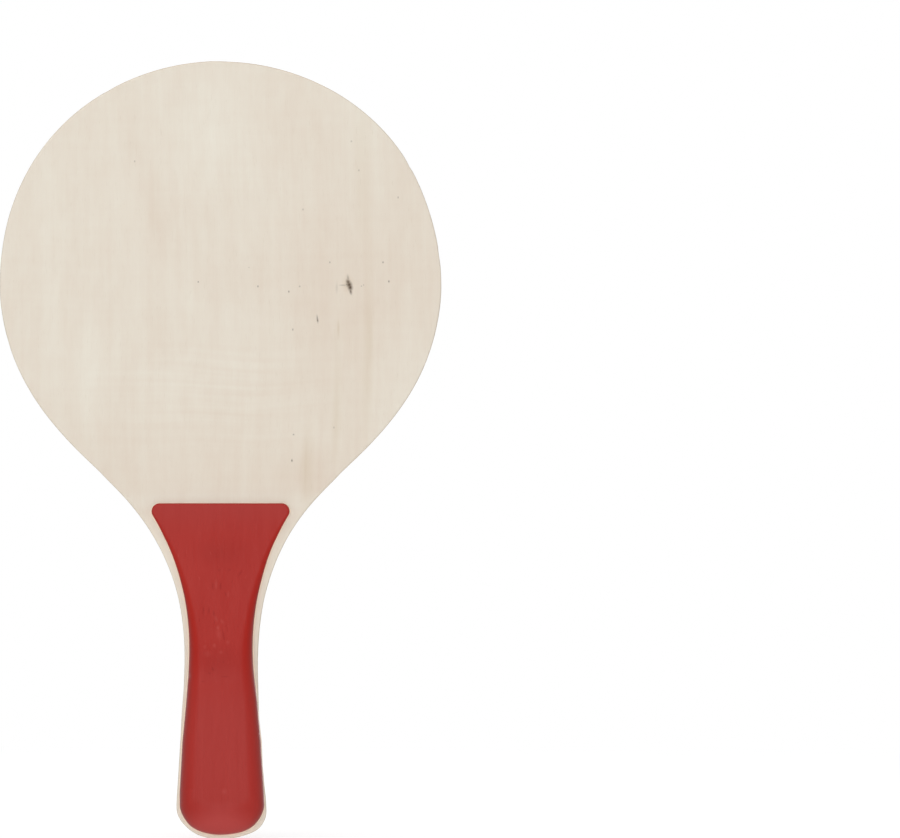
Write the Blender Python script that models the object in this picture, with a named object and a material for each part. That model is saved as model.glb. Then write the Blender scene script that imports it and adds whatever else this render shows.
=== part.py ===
"""A wooden beach paddle: a five-ply plywood blade between two glued and pinned handle scales.

Metres, +Z up. The paddle stands on its butt end with its front face towards -Y, and its origin is
the middle of the grip. Heights in the sizes below are measured up from the butt end.
"""

import math

import bmesh
import bpy
import numpy as np
from mathutils import Vector
from mathutils.geometry import interpolate_bezier

# Outline of the blade
LENGTH = 0.330
HEAD_WIDTH = 0.1875
HEAD_DROP = 0.0955
FLANK_HEIGHT = 0.154
FLANK_WIDTH = 0.100
FLANK_SLOPE = math.radians(42.8)
WAIST_HEIGHT = 0.0765
WAIST_WIDTH = 0.0314
BUTT_HEIGHT = 0.013
BUTT_WIDTH = 0.0382

# Fullness of the outline's curves: each handle as a share of its span, 0.55 for a quarter circle
CROWN_FULLNESS = 0.48
HEAD_FULLNESS_ABOVE = 0.665
HEAD_FULLNESS_BELOW = 0.553
FLANK_FULLNESS = 0.14
NECK_FULLNESS = 0.613
GRIP_FULLNESS = 0.346
BUTT_FULLNESS_ABOVE = 0.145
BUTT_FULLNESS_BELOW = 0.72
END_FULLNESS = 0.42

# Plywood lay-up, from a face to the middle, and the glue line between neighbours
VENEER_THICKNESS = 0.0008
CROSSBAND_THICKNESS = 0.0010
CORE_THICKNESS = 0.0012
GLUE_LINE = 0.0003
EDGE_EASE = 0.0006

# Handle scales: full thickness along the grip, then a scoop up to a thin lip
GRIP_CENTRE_HEIGHT = 0.055
SCALE_TOP_HEIGHT = 0.1425
SCALE_THICKNESS = 0.0085
SCALE_LIP = 0.0020
SCALE_WALL = 0.0012
SCALE_CORNER_RADIUS = 0.0034
SCOOP_START_HEIGHT = 0.070
SCOOP_SOFTNESS = 0.0008

# Bare wood left between the edge of a scale and the edge of the blade
MARGIN_TOP = 0.0057
MARGIN_NECK = 0.0041
MARGIN_NECK_DROP = 0.0165
MARGIN_GRIP = 0.0011
MARGIN_GRIP_HEIGHT = 0.042
MARGIN_BUTT = 0.0016
MARGIN_END = 0.0021
MARGIN_CORNER = 0.0005

# How far the rounding of a scale's edge reaches in over its front, and the point it closes in on below
ROUND_TOP = 0.0008
ROUND_WAIST = 0.0054
ROUND_GRIP = 0.0075
ROUND_GRIP_HEIGHT = 0.027
ROUND_END = 0.0125
ROUND_END_CENTRE = 0.021

# Brads that pin the scales while the glue sets
BRAD_SHANK_RADIUS = 0.0006
BRAD_HEAD_RADIUS = 0.0010
BRAD_HEAD_THICKNESS = 0.0005
BRAD_POINT_LENGTH = 0.0012
BRAD_POINT_RADIUS = 0.0001
BRAD_SINK = 0.0008
BRAD_HEIGHT = 0.021
BRAD_OFFSET = 0.0013
BRAD_CLEARANCE = 0.0003

# Points along each stretch of the outline, and facets of the round parts
CROWN_POINTS = 22
SIDE_POINTS = 20
NECK_POINTS = 20
GRIP_POINTS = 18
BUTT_POINTS = 14
CORNER_POINTS = 6
EASE_STEPS = 3
ROUND_STEPS = 8
BRAD_SIDES = 16
SHARP_ANGLE = math.radians(32)

BLADE_THICKNESS = 2 * VENEER_THICKNESS + 2 * CROSSBAND_THICKNESS + CORE_THICKNESS + 4 * GLUE_LINE

# Colours as seen, and the roughness of each surface
FACE_WOOD = (228, 219, 203)
CROSS_WOOD = (214, 194, 164)
CORE_WOOD = (222, 205, 177)
RED_PAINT = (170, 58, 52)
STEEL = (150, 150, 152)
WOOD_ROUGHNESS = 0.62
PAINT_ROUGHNESS = 0.45
STEEL_ROUGHNESS = 0.35


def clear_scene():
    for thing in list(bpy.data.objects):
        bpy.data.objects.remove(thing, do_unlink=True)


def linear(channel):
    """One channel of a colour as seen, 0 to 255, as the linear value a shader takes."""
    share = channel / 255
    if share <= 0.04045:
        return share / 12.92
    return ((share + 0.055) / 1.055) ** 2.4


def finish(name, colour, roughness, metallic=0.0):
    material = bpy.data.materials.new(name)
    material.use_nodes = True
    shader = material.node_tree.nodes["Principled BSDF"]
    shader.inputs["Base Color"].default_value = (*[linear(channel) for channel in colour], 1.0)
    shader.inputs["Roughness"].default_value = roughness
    shader.inputs["Metallic"].default_value = metallic
    return material


def curve_between(start, start_handle, end_handle, end, count):
    """Points of one stretch of outline, without its last point, where the next stretch starts."""
    points = interpolate_bezier(start, start + start_handle, end + end_handle, end, count + 1)
    return points[:-1]


def blade_side():
    """The blade's right side as (x, height) points, from the crown down to the middle of the butt."""
    crown = Vector((0.0, LENGTH))
    head = Vector((HEAD_WIDTH / 2, LENGTH - HEAD_DROP))
    flank = Vector((FLANK_WIDTH / 2, FLANK_HEIGHT))
    waist = Vector((WAIST_WIDTH / 2, WAIST_HEIGHT))
    butt = Vector((BUTT_WIDTH / 2, BUTT_HEIGHT))
    end = Vector((0.0, 0.0))
    up = Vector((0.0, 1.0))
    right = Vector((1.0, 0.0))
    outward = Vector((math.sin(FLANK_SLOPE), math.cos(FLANK_SLOPE)))

    head_rise = crown.y - head.y
    flank_rise = head.y - flank.y
    neck_rise = flank.y - waist.y
    grip_rise = waist.y - butt.y
    flank_pull = FLANK_FULLNESS * min((head - flank).length, (flank - waist).length)

    points = curve_between(
        crown, right * CROWN_FULLNESS * head.x, up * HEAD_FULLNESS_ABOVE * head_rise, head, CROWN_POINTS)
    points += curve_between(
        head, -up * HEAD_FULLNESS_BELOW * flank_rise, outward * flank_pull, flank, SIDE_POINTS)
    points += curve_between(
        flank, -outward * flank_pull, up * NECK_FULLNESS * neck_rise, waist, NECK_POINTS)
    points += curve_between(
        waist, -up * GRIP_FULLNESS * grip_rise, up * BUTT_FULLNESS_ABOVE * grip_rise, butt, GRIP_POINTS)
    points += curve_between(
        butt, -up * BUTT_FULLNESS_BELOW * butt.y, right * END_FULLNESS * butt.x, end, BUTT_POINTS)
    points.append(end)
    return np.array(points)


def mirrored(side):
    """A closed outline from its right side: down the right and up the left."""
    off_centre = side[side[:, 0] > 0.0]
    return np.vstack([side, off_centre[::-1] * (-1.0, 1.0)])


def inward_normals(outline):
    """Unit vectors that point into a closed outline, square to it, at each of its points."""
    along = np.roll(outline, -1, axis=0) - np.roll(outline, 1, axis=0)
    normals = np.column_stack([along[:, 1], -along[:, 0]])
    return normals / np.linalg.norm(normals, axis=1)[:, None]


def scale_margin(heights, inward):
    """How far the edge of a scale lies inside the edge of the blade, with more at the butt's corners."""
    stations = (0.0, BUTT_HEIGHT, MARGIN_GRIP_HEIGHT, SCALE_TOP_HEIGHT - MARGIN_NECK_DROP, SCALE_TOP_HEIGHT)
    margins = (MARGIN_END, MARGIN_BUTT, MARGIN_GRIP, MARGIN_NECK, MARGIN_TOP)
    corner = np.where(heights < BUTT_HEIGHT, (2 * inward[:, 0] * inward[:, 1]) ** 4, 0.0)
    return np.interp(heights, stations, margins) + MARGIN_CORNER * corner


def scale_side():
    """The scale's right side: a rounded top corner, then the blade's edge followed inside its margin."""
    edge = blade_side()
    inward = inward_normals(mirrored(edge))[:len(edge)]
    margin = scale_margin(edge[:, 1], inward)[:, None]
    side = edge + inward * margin
    centres = side + inward * SCALE_CORNER_RADIUS

    corner_height = SCALE_TOP_HEIGHT - SCALE_CORNER_RADIUS
    below = int(np.argmax(centres[:, 1] < corner_height))
    share = (centres[below - 1, 1] - corner_height) / (centres[below - 1, 1] - centres[below, 1])
    centre = centres[below - 1] + share * (centres[below] - centres[below - 1])
    touch = side[below - 1] + share * (side[below] - side[below - 1])

    touch_angle = math.atan2(touch[1] - centre[1], touch[0] - centre[0])
    angles = np.linspace(math.pi / 2, touch_angle, CORNER_POINTS)
    corner = centre + SCALE_CORNER_RADIUS * np.column_stack([np.cos(angles), np.sin(angles)])
    return np.vstack([corner, side[below:]])


def scale_thickness(heights):
    """Full thickness along the grip, then a soft ridge and a scoop that ends in the lip."""
    reach = (SCALE_TOP_HEIGHT - heights) / (SCALE_TOP_HEIGHT - SCOOP_START_HEIGHT)
    scoop = SCALE_LIP + (SCALE_THICKNESS - SCALE_LIP) * reach**2
    blend = np.clip(1 - np.abs(scoop - SCALE_THICKNESS) / SCOOP_SOFTNESS, 0.0, 1.0)
    return np.minimum(scoop, SCALE_THICKNESS) - SCOOP_SOFTNESS / 4 * blend**2


def edge_rounding(outline):
    """How a scale's edge is rounded over: the way in over its front, and the drop towards the blade.

    The way in is square to the edge down the sides. Round the butt end it closes in on one point,
    so that the flat of the front ends in a smaller copy of the butt's outline.
    """
    heights = outline[:, 1]
    stations = (ROUND_GRIP_HEIGHT, WAIST_HEIGHT, SCALE_TOP_HEIGHT)
    reach = np.interp(heights, stations, (ROUND_GRIP, ROUND_WAIST, ROUND_TOP))
    drop = np.minimum(reach, scale_thickness(heights) - SCALE_WALL)
    way_in = inward_normals(outline) * reach[:, None]

    at_end = heights < ROUND_END_CENTRE
    half_width = outline[at_end, 0].max()
    end_depth = ROUND_END_CENTRE - heights.min()
    from_centre = outline[at_end] - (0.0, ROUND_END_CENTRE)
    way_in[at_end] = -from_centre * (ROUND_GRIP / half_width, ROUND_END / end_depth)
    return way_in, drop


def ring_at(outline, depth):
    """Points in space of an outline, at one depth or at a depth for each point."""
    return np.column_stack([outline[:, 0], np.full(len(outline), depth), outline[:, 1]])


def skin(shape, rings):
    """Faces between matching rings of points, and the rings' vertices."""
    loops = [[shape.verts.new(point) for point in ring] for ring in rings]
    for lower, upper in zip(loops, loops[1:]):
        for index in range(len(lower)):
            after = (index + 1) % len(lower)
            shape.faces.new((lower[index], lower[after], upper[after], upper[index]))
    return loops


def close_across(shape, loop):
    """Fills a ring with level strips, from each stretch of its right side to the mirrored one.

    So a scale's curved front stays smooth, and no facet of a ply's bare head runs in under a scale.
    """
    starts_beside = int(loop[0].co.x > 0.0)
    for right in range(len(loop) // 2):
        left = -right - starts_beside
        corners = (loop[right], loop[right + 1], loop[left - 1], loop[left])
        shape.faces.new(tuple(dict.fromkeys(corners)))


def add_object(name, shape, material, parent):
    bmesh.ops.recalc_face_normals(shape, faces=shape.faces)
    mesh = bpy.data.meshes.new(name)
    shape.to_mesh(mesh)
    shape.free()
    mesh.shade_smooth()
    mesh.set_sharp_from_angle(angle=SHARP_ANGLE)
    if material is not None:
        mesh.materials.append(material)
    thing = bpy.data.objects.new(name, mesh)
    bpy.context.scene.collection.objects.link(thing)
    thing.parent = parent
    return thing


def add_ply(name, thickness, depth, material, parent, eased=False):
    """One ply of the blade. Its inner face lies at the given depth and it grows towards -Y."""
    outline = mirrored(blade_side())
    rings = [ring_at(outline, 0.0)]
    if eased:
        inward = inward_normals(outline)
        for angle in np.linspace(0.0, math.pi / 2, EASE_STEPS + 1):
            inset = outline + inward * EDGE_EASE * (1 - math.cos(angle))
            rings.append(ring_at(inset, -thickness + EDGE_EASE * (1 - math.sin(angle))))
    else:
        rings.append(ring_at(outline, -thickness))
    shape = bmesh.new()
    loops = skin(shape, rings)
    close_across(shape, loops[0])
    close_across(shape, loops[-1])
    ply = add_object(name, shape, material, parent)
    ply.location.y = depth
    return ply


def add_scale(name, parent):
    """A handle scale, glued to the blade by its flat face."""
    outline = mirrored(scale_side())
    way_in, drop = edge_rounding(outline)
    rings = [ring_at(outline, 0.0)]
    for angle in np.linspace(0.0, math.pi / 2, ROUND_STEPS + 1):
        moved = outline + way_in * (1 - math.cos(angle))
        front = scale_thickness(moved[:, 1]) - drop * (1 - math.sin(angle))
        rings.append(ring_at(moved, -front))
    shape = bmesh.new()
    loops = skin(shape, rings)
    shape.faces.new(loops[0])
    close_across(shape, loops[-1])
    material = finish(name, RED_PAINT, PAINT_ROUGHNESS)
    scale = add_object(name, shape, material, parent)
    scale.location.y = -BLADE_THICKNESS / 2 - GLUE_LINE
    return scale


def brad_profile(clearance):
    """(depth, radius) down a brad from its head, or down the hole that clears it all round.

    The brad is sunk into the scale and ends in the middle of the blade.
    """
    length = SCALE_THICKNESS - BRAD_SINK + GLUE_LINE + BLADE_THICKNESS / 2
    return (
        (-clearance, BRAD_HEAD_RADIUS + clearance),
        (BRAD_HEAD_THICKNESS + clearance, BRAD_HEAD_RADIUS + clearance),
        (BRAD_HEAD_THICKNESS + clearance, BRAD_SHANK_RADIUS + clearance),
        (length - BRAD_POINT_LENGTH, BRAD_SHANK_RADIUS + clearance),
        (length + clearance, BRAD_POINT_RADIUS + clearance),
    )


def add_turned(name, profile, material, parent):
    """A pin turned about Y, driven in from the front."""
    turns = np.linspace(0.0, 2 * math.pi, BRAD_SIDES, endpoint=False)
    circle = np.column_stack([np.cos(turns), np.sin(turns)])
    rings = [ring_at(circle * radius, depth) for depth, radius in profile]
    shape = bmesh.new()
    loops = skin(shape, rings)
    shape.faces.new(loops[0])
    shape.faces.new(loops[-1])
    pin = add_object(name, shape, material, parent)
    head_depth = BLADE_THICKNESS / 2 + GLUE_LINE + SCALE_THICKNESS - BRAD_SINK
    pin.location = (BRAD_OFFSET, -head_depth, BRAD_HEIGHT)
    return pin


def cut_with(target, cutter):
    """Cuts a hole in target with the cutter, which isn't part of the paddle."""
    cutter.hide_render = True
    cutter.display_type = "WIRE"
    hole = target.modifiers.new("hole_for_" + cutter.name, "BOOLEAN")
    hole.operation = "DIFFERENCE"
    hole.solver = "EXACT"
    hole.object = cutter


def add_empty(name, parent=None):
    empty = bpy.data.objects.new(name, None)
    bpy.context.scene.collection.objects.link(empty)
    empty.parent = parent
    return empty


def add_side(side_name, butt, core):
    """Everything on one side of the core, built as the front: the back is the same, turned half round."""
    turned = add_empty("side_" + side_name, butt)
    if side_name == "back":
        turned.rotation_euler.z = math.pi

    crossband_depth = -CORE_THICKNESS / 2 - GLUE_LINE
    veneer_depth = crossband_depth - CROSSBAND_THICKNESS - GLUE_LINE
    cross_name = side_name + "_crossband"
    face_name = side_name + "_face_veneer"
    cross_wood = finish(cross_name, CROSS_WOOD, WOOD_ROUGHNESS)
    face_wood = finish(face_name, FACE_WOOD, WOOD_ROUGHNESS)
    crossband = add_ply(cross_name, CROSSBAND_THICKNESS, crossband_depth, cross_wood, turned)
    veneer = add_ply(face_name, VENEER_THICKNESS, veneer_depth, face_wood, turned, eased=True)
    scale = add_scale("handle_scale_" + side_name, turned)

    brad_name = "brad_" + side_name
    steel = finish(brad_name, STEEL, STEEL_ROUGHNESS, metallic=1.0)
    add_turned(brad_name, brad_profile(0.0), steel, turned)
    clearance = add_turned(brad_name + "_clearance", brad_profile(BRAD_CLEARANCE), None, turned)
    for target in (scale, veneer, crossband, core):
        cut_with(target, clearance)


def build_paddle():
    paddle = add_empty("paddle")
    butt = add_empty("butt_end", paddle)
    butt.location.z = -GRIP_CENTRE_HEIGHT
    core_wood = finish("core_ply", CORE_WOOD, WOOD_ROUGHNESS)
    core = add_ply("core_ply", CORE_THICKNESS, CORE_THICKNESS / 2, core_wood, butt)
    for side_name in ("front", "back"):
        add_side(side_name, butt, core)
    bpy.context.view_layer.update()


clear_scene()
build_paddle()
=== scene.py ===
import math
import random

import bmesh
import bpy
import numpy as np
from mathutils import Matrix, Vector, noise
from mathutils.geometry import interpolate_bezier


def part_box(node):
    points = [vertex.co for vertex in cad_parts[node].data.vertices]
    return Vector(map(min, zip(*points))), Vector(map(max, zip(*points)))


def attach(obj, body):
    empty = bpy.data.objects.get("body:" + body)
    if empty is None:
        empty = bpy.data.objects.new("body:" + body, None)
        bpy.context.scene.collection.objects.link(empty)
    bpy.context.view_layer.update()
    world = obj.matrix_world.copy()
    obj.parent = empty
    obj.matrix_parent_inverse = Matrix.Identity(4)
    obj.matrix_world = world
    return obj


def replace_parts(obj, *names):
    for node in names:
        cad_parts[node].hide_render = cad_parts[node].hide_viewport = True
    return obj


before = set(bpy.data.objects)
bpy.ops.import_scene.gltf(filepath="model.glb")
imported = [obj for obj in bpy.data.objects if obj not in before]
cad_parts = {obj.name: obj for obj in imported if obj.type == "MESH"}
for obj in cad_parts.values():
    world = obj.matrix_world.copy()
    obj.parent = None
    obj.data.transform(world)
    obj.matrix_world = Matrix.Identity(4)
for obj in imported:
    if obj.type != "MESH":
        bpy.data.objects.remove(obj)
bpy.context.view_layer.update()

# A wooden beach paddle: sanded five-ply plywood between two red painted handle scales.
# Metres. The front face looks towards -Y, and the origin is the middle of the grip. Heights in the
# sizes below are measured up from the butt end.

GRIP_CENTRE_HEIGHT = 0.055

# Outline of the blade
LENGTH = 0.330
HEAD_WIDTH = 0.1875
HEAD_DROP = 0.0955
FLANK_HEIGHT = 0.154
FLANK_WIDTH = 0.100
FLANK_SLOPE = math.radians(42.8)
WAIST_HEIGHT = 0.0765
WAIST_WIDTH = 0.0314
BUTT_HEIGHT = 0.013
BUTT_WIDTH = 0.0382

# Fullness of the outline's curves
CROWN_FULLNESS = 0.48
HEAD_FULLNESS_ABOVE = 0.665
HEAD_FULLNESS_BELOW = 0.553
FLANK_FULLNESS = 0.14
NECK_FULLNESS = 0.613
GRIP_FULLNESS = 0.346
BUTT_FULLNESS_ABOVE = 0.145
BUTT_FULLNESS_BELOW = 0.72
END_FULLNESS = 0.42

# Handle scales: full thickness along the grip, then a scoop up to a thin lip
SCALE_TOP_HEIGHT = 0.1425
SCALE_THICKNESS = 0.0085
SCALE_LIP = 0.0020
SCALE_WALL = 0.0012
SCALE_CORNER_RADIUS = 0.0034
SCOOP_START_HEIGHT = 0.070
SCOOP_SOFTNESS = 0.0008

# Bare wood left between the edge of a scale and the edge of the blade
MARGIN_TOP = 0.0057
MARGIN_NECK = 0.0041
MARGIN_NECK_DROP = 0.0165
MARGIN_GRIP = 0.0011
MARGIN_GRIP_HEIGHT = 0.042
MARGIN_BUTT = 0.0016
MARGIN_END = 0.0021
MARGIN_CORNER = 0.0005

# How far the rounding of a scale's edge reaches in over its front, and the height of the point that
# it closes in on at the butt end
ROUND_TOP = 0.0008
ROUND_WAIST = 0.0054
ROUND_GRIP = 0.0075
ROUND_GRIP_HEIGHT = 0.027
ROUND_END = 0.0125
ROUND_END_CENTRE = 0.021

# Points along each stretch of the outline, steps of the roundings, and columns across a scale
CROWN_POINTS = 66
SIDE_POINTS = 60
NECK_POINTS = 64
GRIP_POINTS = 80
BUTT_POINTS = 42
CORNER_POINTS = 12
EASE_STEPS = 5
ROUND_STEPS = 16
ACROSS = 40

# Faces that meet at more than this angle are shaded with a sharp edge between them
SHARP_ANGLE = math.radians(40)

# The ease along the face veneers, how uneven it is, and the ring of faces beside it that keeps the
# shading of the flat level
EDGE_EASE = 0.0006
EASE_UNEVENNESS = 0.25
GUARD_RING = 0.0004

# How far the glue lies back from the edge of the plies, and how far a scale's foot reaches down into
# the gap over the blade
GLUE_RECESS = 0.00012
SCALE_GAP = 0.00027

# How far the blade's edge is worn back on average, how uneven each ply's own edge is, and how far the
# surface of a scale is worn down on average
EDGE_WEAR = 0.00003
PLY_UNEVENNESS = 0.000012
SCALE_WEAR = 0.00003

# Waves per metre in a sanded edge, slow and quick, and in a scale's surface, across and along
SLOW_EDGE_WAVES = 90
QUICK_EDGE_WAVES = 330
SCALE_WAVES_ACROSS = 110
SCALE_WAVES_ALONG = 45

# How far the blade's edge was sanded further in, by height, on its left and on its right
SANDED_HEIGHTS = (
    0.0, 0.0055, 0.015, 0.025, 0.042, 0.053, 0.066, 0.088,
    0.104, 0.134, 0.155, 0.190, 0.218, 0.236, 0.270, 0.300)
SANDED_LEFT = (
    0.0002, 0.0009, 0.0003, 0.0003, 0.00015, 0.0, 0.0003, 0.00045,
    0.0006, 0.0004, 0.0004, 0.0002, 0.0003, 0.0001, 0.0, 0.0)
SANDED_RIGHT = (
    0.0002, -0.00072, -0.00015, 0.0002, 0.00045, 0.0004, 0.0001, -0.00012,
    0.0001, 0.0004, 0.0003, 0.0001, 0.0004, 0.0002, 0.0007, 0.0002)

# How much wider each scale is on its left and on its right, by height, and how much taller at its top
SHAPED_HEIGHTS = (0.0, 0.0055, 0.010, 0.015, 0.020, 0.040, 0.058, 0.076, 0.108, 0.128, 0.1425)
FRONT_SHAPED_LEFT = (
    0.0, 0.0, -0.00088, -0.00015, 0.0, 0.0,
    0.0, 0.0, 0.0, -0.00025, -0.0001)
FRONT_SHAPED_RIGHT = (
    0.0010, 0.0011, 0.00033, 0.00102, 0.0010, 0.00085,
    0.0010, 0.0003, 0.0003, -0.0003, -0.0001)
FRONT_SHAPED_TOP = 0.00012
BACK_SHAPED_LEFT = (
    0.0, 0.0001, -0.0006, -0.0001, 0.0001, 0.0002,
    0.0002, 0.0, -0.0001, -0.0001, 0.0)
BACK_SHAPED_RIGHT = (
    0.0001, 0.0001, -0.0005, 0.0, 0.0, 0.0001,
    0.0001, 0.0001, 0.0, -0.0002, -0.0001)
BACK_SHAPED_TOP = 0.0

# How far from the middle line, and down from a scale's top edge, these sides fade into one another
SHAPED_BLEND = 0.008

# The bead of glue along the foot of a scale: its width, how uneven that is, how much of it is left
# along the top edge, the most of the bare rim that it may cover, its height, how far it reaches in
# under the scale, and where its rounded shoulder lies as shares of its width and height
BEAD_WIDTH = 0.0005
BEAD_UNEVENNESS = 0.5
BEAD_SHARE_AT_TOP = 0.25
BEAD_SHARE_OF_RIM = 0.75
BEAD_RISE = 0.0005
BEAD_ROOT = 0.0002
BEAD_SHOULDER = (0.45, 0.4)


# Outlines


def curve_between(start, start_handle, end_handle, end, count):
    """Points of one stretch of outline, without its last point, where the next stretch starts."""
    points = interpolate_bezier(start, start + start_handle, end + end_handle, end, count + 1)
    return points[:-1]


def blade_side():
    """The blade's right side as (x, height) points, from the crown down to the middle of the butt."""
    crown = Vector((0.0, LENGTH))
    head = Vector((HEAD_WIDTH / 2, LENGTH - HEAD_DROP))
    flank = Vector((FLANK_WIDTH / 2, FLANK_HEIGHT))
    waist = Vector((WAIST_WIDTH / 2, WAIST_HEIGHT))
    butt = Vector((BUTT_WIDTH / 2, BUTT_HEIGHT))
    end = Vector((0.0, 0.0))
    up = Vector((0.0, 1.0))
    right = Vector((1.0, 0.0))
    outward = Vector((math.sin(FLANK_SLOPE), math.cos(FLANK_SLOPE)))

    crown_rise = crown.y - head.y
    flank_rise = head.y - flank.y
    neck_rise = flank.y - waist.y
    grip_rise = waist.y - butt.y
    flank_pull = FLANK_FULLNESS * min((head - flank).length, (flank - waist).length)

    points = curve_between(
        crown, right * CROWN_FULLNESS * head.x,
        up * HEAD_FULLNESS_ABOVE * crown_rise, head, CROWN_POINTS)
    points += curve_between(
        head, -up * HEAD_FULLNESS_BELOW * flank_rise, outward * flank_pull, flank, SIDE_POINTS)
    points += curve_between(
        flank, -outward * flank_pull, up * NECK_FULLNESS * neck_rise, waist, NECK_POINTS)
    points += curve_between(
        waist, -up * GRIP_FULLNESS * grip_rise,
        up * BUTT_FULLNESS_ABOVE * grip_rise, butt, GRIP_POINTS)
    points += curve_between(
        butt, -up * BUTT_FULLNESS_BELOW * butt.y, right * END_FULLNESS * butt.x, end, BUTT_POINTS)
    points.append(end)
    return np.array(points)


def mirrored(side):
    """A closed outline from its right side: down the right and up the left."""
    off_centre = side[side[:, 0] > 0.0]
    return np.vstack([side, off_centre[::-1] * (-1.0, 1.0)])


def inward_normals(outline):
    """Unit vectors that point into a closed outline, square to it, at each of its points."""
    along = np.roll(outline, -1, axis=0) - np.roll(outline, 1, axis=0)
    normals = np.column_stack([along[:, 1], -along[:, 0]])
    return normals / np.linalg.norm(normals, axis=1)[:, None]


def scale_margin(heights, inward):
    """How far a scale's edge lies inside the blade's edge, with more at the butt's corners."""
    neck_height = SCALE_TOP_HEIGHT - MARGIN_NECK_DROP
    stations = (0.0, BUTT_HEIGHT, MARGIN_GRIP_HEIGHT, neck_height, SCALE_TOP_HEIGHT)
    margins = (MARGIN_END, MARGIN_BUTT, MARGIN_GRIP, MARGIN_NECK, MARGIN_TOP)
    slant = np.abs(2 * inward[:, 0] * inward[:, 1])
    corner = np.where(heights < BUTT_HEIGHT, slant**4, 0.0)
    return np.interp(heights, stations, margins) + MARGIN_CORNER * corner


def scale_side():
    """The scale's right side: a rounded top corner, then the blade's edge moved in by the margin."""
    edge = blade_side()
    inward = inward_normals(mirrored(edge))[:len(edge)]
    margin = scale_margin(edge[:, 1], inward)[:, None]
    side = edge + inward * margin
    centres = side + inward * SCALE_CORNER_RADIUS

    corner_height = SCALE_TOP_HEIGHT - SCALE_CORNER_RADIUS
    below = int(np.argmax(centres[:, 1] < corner_height))
    share = (centres[below - 1, 1] - corner_height) / (centres[below - 1, 1] - centres[below, 1])
    centre = centres[below - 1] + share * (centres[below] - centres[below - 1])
    touch = side[below - 1] + share * (side[below] - side[below - 1])

    touch_angle = math.atan2(touch[1] - centre[1], touch[0] - centre[0])
    angles = np.linspace(math.pi / 2, touch_angle, CORNER_POINTS)
    corner = centre + SCALE_CORNER_RADIUS * np.column_stack([np.cos(angles), np.sin(angles)])
    return np.vstack([corner, side[below:]])


def scale_outline():
    """The scale's closed outline, with points along its straight top edge too."""
    side = scale_side()
    across = np.linspace(-side[0, 0], side[0, 0], ACROSS + 1)[1:-1]
    top_edge = np.column_stack([across, np.full(len(across), side[0, 1])])
    return np.vstack([top_edge, mirrored(side)])


def scale_thickness(heights):
    """Full thickness along the grip, then a soft ridge and a scoop that ends in the lip."""
    reach = (SCALE_TOP_HEIGHT - heights) / (SCALE_TOP_HEIGHT - SCOOP_START_HEIGHT)
    scoop = SCALE_LIP + (SCALE_THICKNESS - SCALE_LIP) * reach**2
    blend = np.clip(1 - np.abs(scoop - SCALE_THICKNESS) / SCOOP_SOFTNESS, 0.0, 1.0)
    return np.minimum(scoop, SCALE_THICKNESS) - SCOOP_SOFTNESS / 4 * blend**2


def edge_rounding(outline):
    """How a scale's edge is rounded over: the way in over its front, and the drop to the blade."""
    heights = outline[:, 1]
    stations = (ROUND_GRIP_HEIGHT, WAIST_HEIGHT, SCALE_TOP_HEIGHT)
    reach = np.interp(heights, stations, (ROUND_GRIP, ROUND_WAIST, ROUND_TOP))
    drop = np.minimum(reach, scale_thickness(heights) - SCALE_WALL)
    way_in = inward_normals(outline) * reach[:, None]

    at_end = heights < ROUND_END_CENTRE
    half_width = outline[at_end, 0].max()
    end_depth = ROUND_END_CENTRE - heights.min()
    from_centre = outline[at_end] - (0.0, ROUND_END_CENTRE)
    way_in[at_end] = -from_centre * (ROUND_GRIP / half_width, ROUND_END / end_depth)
    return way_in, drop


# Meshes


def depths(node):
    """The lowest and the highest Y of a CAD node."""
    low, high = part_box(node)
    return low[1], high[1]


def ring_at(outline, depth):
    """Points in space of an outline, at one depth or at a depth for each point."""
    x, heights = outline.T
    return np.column_stack([x, np.full(len(outline), depth), heights - GRIP_CENTRE_HEIGHT])


def skin(shape, rings, closed=False):
    """Faces between matching rings of points, and from the last back to the first in a closed tube."""
    loops = [[shape.verts.new(point) for point in ring] for ring in rings]
    following = loops[1:] + (loops[:1] if closed else [])
    for lower, upper in zip(loops, following):
        for index in range(len(lower)):
            after = (index + 1) % len(lower)
            shape.faces.new((lower[index], lower[after], upper[after], upper[index]))
    return loops


def close_across(shape, loop):
    """Fills a flat ring with level strips, from each stretch of its right side to the mirrored one."""
    first_has_partner = int(loop[0].co.x > 0.0)
    for right in range(len(loop) // 2):
        left = -right - first_has_partner
        corners = (loop[right], loop[right + 1], loop[left - 1], loop[left])
        # Both sides share a corner on the middle line, so that the strip there is a triangle.
        shape.faces.new(tuple(dict.fromkeys(corners)))


def add_object(name, data):
    thing = bpy.data.objects.new(name, data)
    bpy.context.scene.collection.objects.link(thing)
    return thing


def add_mesh(name, shape, material):
    mesh = bpy.data.meshes.new(name)
    shape.to_mesh(mesh)
    shape.free()
    mesh.materials.append(material)
    return add_object(name, mesh)


def add_piece(name, shape, material):
    """A visible piece of the paddle, which rides on its one body."""
    bmesh.ops.recalc_face_normals(shape, faces=shape.faces)
    piece = add_mesh(name, shape, material)
    piece.data.shade_smooth()
    piece.data.set_sharp_from_angle(angle=SHARP_ANGLE)
    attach(piece, "root")
    return piece


def soft_steps(heights, stations, values):
    """Values by height, with a soft step from each station to the next."""
    steps = np.arange(len(stations))
    whole, share = np.divmod(np.interp(heights, stations, steps), 1.0)
    return np.interp(whole + share**2 * (3 - 2 * share), steps, values)


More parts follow.
